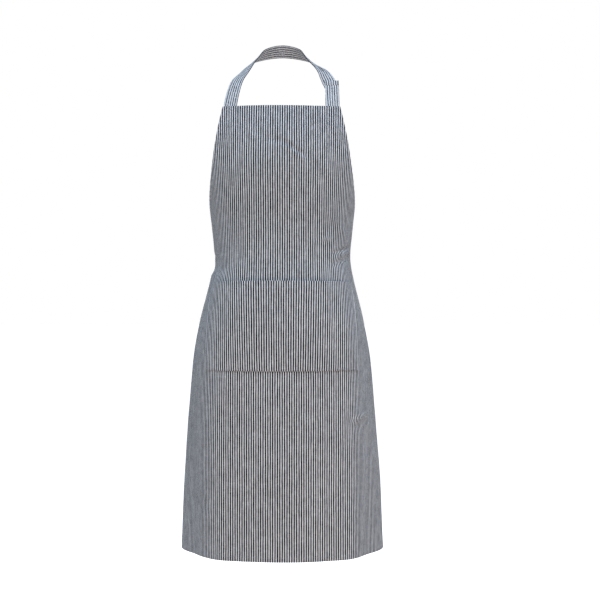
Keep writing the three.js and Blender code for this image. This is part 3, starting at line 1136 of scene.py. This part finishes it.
stripes = {
    "pitch": 0.00468,  # one navy and one white stripe
    "blur": 26.0,  # sharpness of a stripe's edge
    "thread": 0.00085,  # real yarns lie 0.5 mm apart: drawn coarser so that they show
    "weave": 0.00022,  # height of the weave's bumps
    "roughness": 0.86,
    "slubRoughness": -0.1,  # thick places in the yarn are a little smoother
    # unevenness: its size across and along the cloth in metres, and how strong it is
    "stray": (0.030, 0.060, 0.0011),
    "edge": (0.006, 0.018, 0.16),
    "weftSlub": (0.012, 0.0011, 0.42),
    "warpSlub": (0.0014, 0.035, 0.42),
    "warpStreak": (0.0070, 0.045, 0.34),
    "patch": (0.09, 0.14, 0.24),
    "speck": (0.0036, 0.0075, 0.58),
}

clothKinds = {
    # navy, white, and the half width of a navy stripe as a share of the pitch
    "panel": ("#0d0e14", "#f0efed", 0.312),
    "strap": ("#161a24", "#dfdfde", 0.190),
}


def newMaterial(name):
    material = bpy.data.materials.new(name)
    material.use_nodes = True
    return material, material.node_tree, material.node_tree.nodes["Principled BSDF"]


def stripedCloth(kind):
    # Linen and cotton in plain weave, its stripes dyed in the yarn: matt, with thick and thin places
    # along both yarns, so that the stripes' edges wander and their colour breaks up.
    navy, white, share = clothKinds[kind]
    material, tree, shader = newMaterial("linen and cotton, yarn-dyed, woven, " + kind)
    flat = addNode(tree, "SeparateXYZ", addNode(tree, "UVMap"))
    across, along = flat.outputs[0], flat.outputs[1]

    def uneven(name, onto, detail=2.0):
        # noise about 0, of the size and strength named, added onto a value
        acrossSize, alongSize, strength = stripes[name]
        x = addNode(tree, "Math", across, acrossSize, operation="DIVIDE")
        y = addNode(tree, "Math", along, alongSize, operation="DIVIDE")
        speck = addNode(tree, "TexNoise", addNode(tree, "CombineXYZ", x, y), None, 1.0, detail)
        centred = addNode(tree, "Math", speck, 0.5, operation="SUBTRACT")
        return addNode(tree, "Math", centred, strength, onto, operation="MULTIPLY_ADD")

    strayed = uneven("stray", across)
    count = addNode(tree, "Math", strayed, stripes["pitch"], operation="DIVIDE")
    phase = addNode(tree, "Math", count, operation="FRACT")
    offNavy = addNode(tree, "Math", phase, 0.5, operation="SUBTRACT")
    fromNavy = addNode(tree, "Math", offNavy, operation="ABSOLUTE")
    inWhite = addNode(tree, "Math", fromNavy, uneven("edge", share), operation="SUBTRACT")
    stripe = addNode(tree, "Math", inWhite, stripes["blur"], 0.5, operation="MULTIPLY_ADD", use_clamp=True)
    slubs = uneven("warpStreak", uneven("warpSlub", uneven("weftSlub", 0.0)))
    tone = addNode(tree, "Math", stripe, slubs, operation="ADD", use_clamp=True)
    dyed = addNode(tree, "MixRGB", tone, toLinear(navy), toLinear(white))
    patchy = uneven("speck", uneven("patch", 1.0, 3.0), 1.0)
    colour = addNode(tree, "VectorMath", dyed, None, None, patchy, operation="SCALE")
    tree.links.new(colour.outputs[0], shader.inputs["Base Color"])
    turn = 2 * math.pi / stripes["thread"]
    acrossTurns = addNode(tree, "Math", across, turn, operation="MULTIPLY")
    alongTurns = addNode(tree, "Math", along, turn, operation="MULTIPLY")
    warp = addNode(tree, "Math", acrossTurns, operation="SINE")
    weft = addNode(tree, "Math", alongTurns, operation="SINE")
    weave = addNode(tree, "Math", warp, weft, slubs, operation="MULTIPLY_ADD")
    bump = addNode(tree, "Bump", 0.5, stripes["weave"])
    tree.links.new(weave.outputs[0], bump.inputs["Height"])
    tree.links.new(bump.outputs[0], shader.inputs["Normal"])
    rough = addNode(tree, "Math", slubs, stripes["slubRoughness"], stripes["roughness"],
                    operation="MULTIPLY_ADD")
    tree.links.new(rough.outputs[0], shader.inputs["Roughness"])
    shader.inputs["Sheen Weight"].default_value = 0.10
    shader.inputs["Specular IOR Level"].default_value = 0.3
    return material


plyWidth = 0.00019635
threadKinds = {
    # painted shade in the grooves between the plies, and the lighter colour of their ridges
    "seam": ("#848892", "#b9bcc4"),
    # navy thread, and dark enough to stand in for the shade seen through the slits: partly painted shade
    "buttonhole": ("#0f1118", "#272b38"),
}


def sewingThread(kind):
    # Cotton thread, spun and twisted from plies: soft, slightly silky, with a fine slanting ridge, and the
    # twist's shade painted into its colour.
    material, tree, shader = newMaterial("cotton thread, spun, twisted, " + kind)
    plyGroovePaintedShade, plyRidgeTone = threadKinds[kind]
    place = addNode(tree, "TexCoord")
    scale = math.pi / 10 / plyWidth  # a wave repeats every pi / 10 at a scale of 1
    ply = addNode(tree, "TexWave", place.outputs["Object"], scale, 2.0, 1.0, bands_direction="DIAGONAL")
    # painted shade: the colour darkens in the grooves between the plies and lightens on their ridges
    shade = addNode(tree, "MixRGB", ply, toLinear(plyGroovePaintedShade), toLinear(plyRidgeTone))
    tree.links.new(shade.outputs[0], shader.inputs["Base Color"])
    bump = addNode(tree, "Bump", 0.3, 0.0001)
    tree.links.new(ply.outputs[0], bump.inputs["Height"])
    tree.links.new(bump.outputs[0], shader.inputs["Normal"])
    shader.inputs["Roughness"].default_value = 0.7
    shader.inputs["Sheen Weight"].default_value = 0.15
    return material


resin = {
    "drift": 0.00625,  # size of a milky band
    "grit": 0.0004,
    "roughness": 0.22,
    "gritRoughness": 0.14,
}


def buttonResin():
    # Polyester resin, cast and turned to look like shell: hard gloss over milky, drifting bands.
    material, tree, shader = newMaterial("polyester resin, cast, turned")
    place = addNode(tree, "TexCoord")
    drift = addNode(tree, "TexNoise", place.outputs["Object"], None, 1 / resin["drift"], 3.0)
    drift.inputs["Distortion"].default_value = 1.5
    colour = addNode(tree, "MixRGB", drift, toLinear("#cfc6b4"), toLinear("#f1ece0"))
    tree.links.new(colour.outputs[0], shader.inputs["Base Color"])
    grit = addNode(tree, "TexNoise", place.outputs["Object"], None, 1 / resin["grit"], 2.0)
    rough = addNode(tree, "Math", grit, resin["gritRoughness"], resin["roughness"],
                    operation="MULTIPLY_ADD")
    tree.links.new(rough.outputs[0], shader.inputs["Roughness"])
    bump = addNode(tree, "Bump", 0.15, 0.00005)
    tree.links.new(drift.outputs[0], bump.inputs["Height"])
    tree.links.new(bump.outputs[0], shader.inputs["Normal"])
    shader.inputs["Coat Weight"].default_value = 0.3
    return material


setCamera()
setLights()
setFloor()
print("cloth")
panelCloth = stripedCloth("panel")
strapCloth = stripedCloth("strap")
thread = sewingThread("seam")
bodyPanel(panelCloth)
patchPocket(panelCloth)
print("straps")
sewn = straps(strapCloth)
print("stitching")
sewPanel(thread)
sewPocket(thread)
for name, route, body in sewn:
    sewStrap(name, route, body, thread)
# the buttonholes' dark thread also stands in for the shade seen through the slits: partly painted shade
sewButtonholes(sewingThread("buttonhole"))
print("button")
buttonThread(resinButton(buttonResin()), thread)
